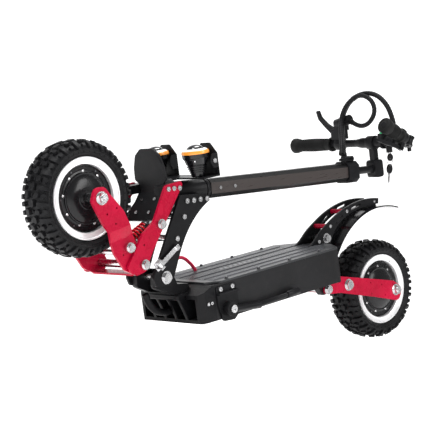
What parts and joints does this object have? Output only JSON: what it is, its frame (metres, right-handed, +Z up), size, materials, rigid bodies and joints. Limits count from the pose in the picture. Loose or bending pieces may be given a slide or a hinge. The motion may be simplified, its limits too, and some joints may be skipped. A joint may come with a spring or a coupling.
{
  "type": "electric kick scooter",
  "caption": "Folding electric kick scooter with hub motor wheels, sprung swing arms, red forks and a ribbed deck, shown folded and resting on its nose and rear tyre.",
  "frame": {"origin": "on the floor under the middle of the whole folded scooter's box", "axes": "+X towards the front wheel along the scooter, +Y to its left (the kickstand side), +Z up"},
  "size_m": [1.3671, 0.4665, 0.7042],
  "materials": {
    "black_metal": "satin black coat",
    "deck_grey": "satin",
    "steel": "zinc plated",
    "dark_steel": "dark satin",
    "gloss_black": "gloss",
    "red_paint": "anodised red",
    "red_spring": "gloss",
    "tyre": "matt",
    "rim_white": "satin silver-white",
    "motor_black": "satin black",
    "matte_plastic": "matt",
    "stem_grey": "brushed dark",
    "lamp_black": "semi-gloss",
    "lens_glass": "clear",
    "grip_rubber": "matt",
    "cable_black": "matt",
    "red_sleeve": "satin",
    "battery": "matt",
    "button_red": "gloss",
    "button_green": "gloss",
    "key_plastic": "satin"
  },
  "bodies": {
    "deck": {"deck_tub": "black_metal", "battery_pack": "battery", "deck_plate": "deck_grey", "nose_casting": "black_metal", "hinge_base": "black_metal", "deck_bolts": "steel", "rear_mudguard": "gloss_black", "rear_arches": "black_metal", "arch_rails": "red_paint", "rear_damper_body": "dark_steel", "stand_bracket": "black_metal", "motor_sleeve": "cable_black", "red_cable": "red_sleeve"},
    "rear_arm": {"rear_arm": "red_paint", "rear_axle": "steel"},
    "rear_wheel": {"rear_tyre": "tyre", "rear_rim": "rim_white", "rear_motor": "motor_black"},
    "rear_damper_rod": {"rear_damper_rod": "dark_steel", "rear_damper_spring": "red_spring"},
    "neck": {"neck_plates": "black_metal", "head_tube": "black_metal", "neck_bolts": "steel"},
    "latch": {"latch_lever": "steel"},
    "steering": {"fork_crown": "black_metal", "fork_legs": "red_paint", "fork_bolts": "steel", "front_mudguard": "matte_plastic", "stem_beam": "stem_grey", "stem_clamp": "black_metal", "lamp_bracket": "black_metal", "lamp_bodies": "lamp_black", "lamp_lenses": "lens_glass"},
    "front_arm": {"front_arm": "red_paint", "front_axle": "steel"},
    "front_wheel": {"front_tyre": "tyre", "front_rim": "rim_white", "front_motor": "motor_black"},
    "front_damper": {"front_damper_body": "dark_steel"},
    "front_damper_rod": {"front_damper_rod": "dark_steel", "front_damper_spring": "red_spring"},
    "clamp_lever": {"clamp_lever": "black_metal"},
    "bar": {"inner_tube": "black_metal", "riser_clamp": "black_metal", "handlebar": "black_metal", "grip_right": "grip_rubber", "perch_right": "black_metal", "fold_socket": "black_metal", "left_pods": "matte_plastic", "bar_looms": "cable_black"},
    "brake_right": {"brake_lever_right": "black_metal"},
    "left_grip": {"folded_bar": "black_metal", "grip_left": "grip_rubber"},
    "brake_left": {"brake_lever_left": "black_metal"},
    "throttle": {"throttle": "matte_plastic"},
    "button_red": {"button_red": "button_red"},
    "button_green": {"button_green": "button_green"},
    "key": {"ignition_key": "key_plastic"},
    "spare_key": {"hanging_key": "key_plastic"},
    "stand": {"stand_leg": "black_metal"}
  },
  "joints": [
    {"name": "rear_arm_pivot", "type": "hinge", "parent": "deck", "child": "rear_arm", "pos_m": [-0.25853, 0.07675, 0.12098], "axis": [0, 1, 0], "range_deg": [0, 8], "stiffness_Nm_per_rad": 900, "springref_deg": -11.46},
    {"name": "rear_wheel_spin", "type": "hinge", "parent": "rear_arm", "child": "rear_wheel", "pos_m": [-0.54155, 0.07675, 0.142], "axis": [0, 1, 0], "continuous": true},
    {"name": "rear_damper_slide", "type": "slide", "parent": "deck", "child": "rear_damper_rod", "axis": [0.292, 0, 0.9564], "range_m": [0, 0.01161], "deforming": ["rear_damper_spring"]},
    {"name": "neck_fold", "type": "hinge", "parent": "deck", "child": "neck", "pos_m": [0.28833, 0.07675, 0.10779], "axis": [0, 1, 0], "range_deg": [0, 92]},
    {"name": "latch_open", "type": "hinge", "parent": "neck", "child": "latch", "pos_m": [0.31747, 0.13825, 0.13565], "axis": [-0.7202, 0, -0.6937], "range_deg": [0, 100]},
    {"name": "steer", "type": "hinge", "parent": "neck", "child": "steering", "pos_m": [0.21086, 0.07675, 0.3317], "axis": [0.9783, 0, -0.2073], "range_deg": [-30, 30]},
    {"name": "tube_slide", "type": "slide", "parent": "steering", "child": "bar", "axis": [-0.9783, 0, 0.2073], "range_m": [0, 0.08]},
    {"name": "clamp_lever_open", "type": "hinge", "parent": "steering", "child": "clamp_lever", "pos_m": [-0.39582, 0.07675, 0.4981], "axis": [0, -1, 0], "range_deg": [0, 90]},
    {"name": "front_arm_pivot", "type": "hinge", "parent": "steering", "child": "front_arm", "pos_m": [0.39449, 0.07675, 0.13156], "axis": [0, -1, 0], "range_deg": [0, 8], "stiffness_Nm_per_rad": 500, "springref_deg": -11.46},
    {"name": "front_wheel_spin", "type": "hinge", "parent": "front_arm", "child": "front_wheel", "pos_m": [0.54155, 0.07675, 0.27378], "axis": [0, 1, 0], "continuous": true},
    {"name": "front_damper_tilt", "type": "hinge", "parent": "steering", "child": "front_damper", "pos_m": [0.35474, 0.07675, 0.23307], "axis": [0, -1, 0], "range_deg": [0, 0.87412]},
    {"name": "front_damper_slide", "type": "slide", "parent": "front_damper", "child": "front_damper_rod", "axis": [-0.797, 0, 0.604], "range_m": [0, 0.00806], "deforming": ["front_damper_spring"]},
    {"name": "brake_right_pull", "type": "hinge", "parent": "bar", "child": "brake_right", "pos_m": [-0.48842, -0.06325, 0.59402], "axis": [0.9586, 0, -0.2846], "range_deg": [0, 14], "stiffness_Nm_per_rad": 2, "springref_deg": -8.59},
    {"name": "left_grip_fold", "type": "hinge", "parent": "bar", "child": "left_grip", "pos_m": [-0.49867, 0.21075, 0.55951], "axis": [-0.2498, 0, 0.9683], "range_deg": [0, 90]},
    {"name": "brake_left_pull", "type": "hinge", "parent": "left_grip", "child": "brake_left", "pos_m": [-0.46525, 0.21075, 0.53405], "axis": [0, -1, 0], "range_deg": [0, 10], "stiffness_Nm_per_rad": 2, "springref_deg": -8.59},
    {"name": "throttle_push", "type": "hinge", "parent": "bar", "child": "throttle", "pos_m": [-0.53681, 0.07675, 0.56458], "axis": [0, -1, 0], "range_deg": [0, 30], "stiffness_Nm_per_rad": 0.3, "springref_deg": -17.19},
    {"name": "button_red_press", "type": "slide", "parent": "bar", "child": "button_red", "axis": [-0.2846, 0, -0.9586], "range_m": [0, 0.002], "stiffness_N_per_m": 600, "springref_m": -0.002},
    {"name": "button_green_press", "type": "slide", "parent": "bar", "child": "button_green", "axis": [-0.2846, 0, -0.9586], "range_m": [0, 0.002], "stiffness_N_per_m": 600, "springref_m": -0.002},
    {"name": "key_turn", "type": "hinge", "parent": "bar", "child": "key", "pos_m": [-0.50721, 0.13675, 0.53075], "axis": [0.2846, 0, 0.9586], "range_deg": [0, 90]},
    {"name": "spare_key_swing", "type": "hinge", "parent": "key", "child": "spare_key", "pos_m": [-0.51262, 0.13675, 0.51254], "axis": [0, 1, 0], "range_deg": [-30, 30]},
    {"name": "stand_swing", "type": "hinge", "parent": "deck", "child": "stand", "pos_m": [0.13631, 0.21075, 0.04548], "axis": [0, -1, 0], "range_deg": [0, 80], "stiffness_Nm_per_rad": 3, "springref_deg": -22.92}
  ],
  "couplings": [
    {"joint": "rear_damper_slide", "follows": "rear_arm_pivot", "m_per_rad": 0.083083},
    {"joint": "front_damper_tilt", "follows": "front_arm_pivot", "ratio": 0.10921},
    {"joint": "front_damper_slide", "follows": "front_arm_pivot", "m_per_rad": 0.05767}
  ]
}
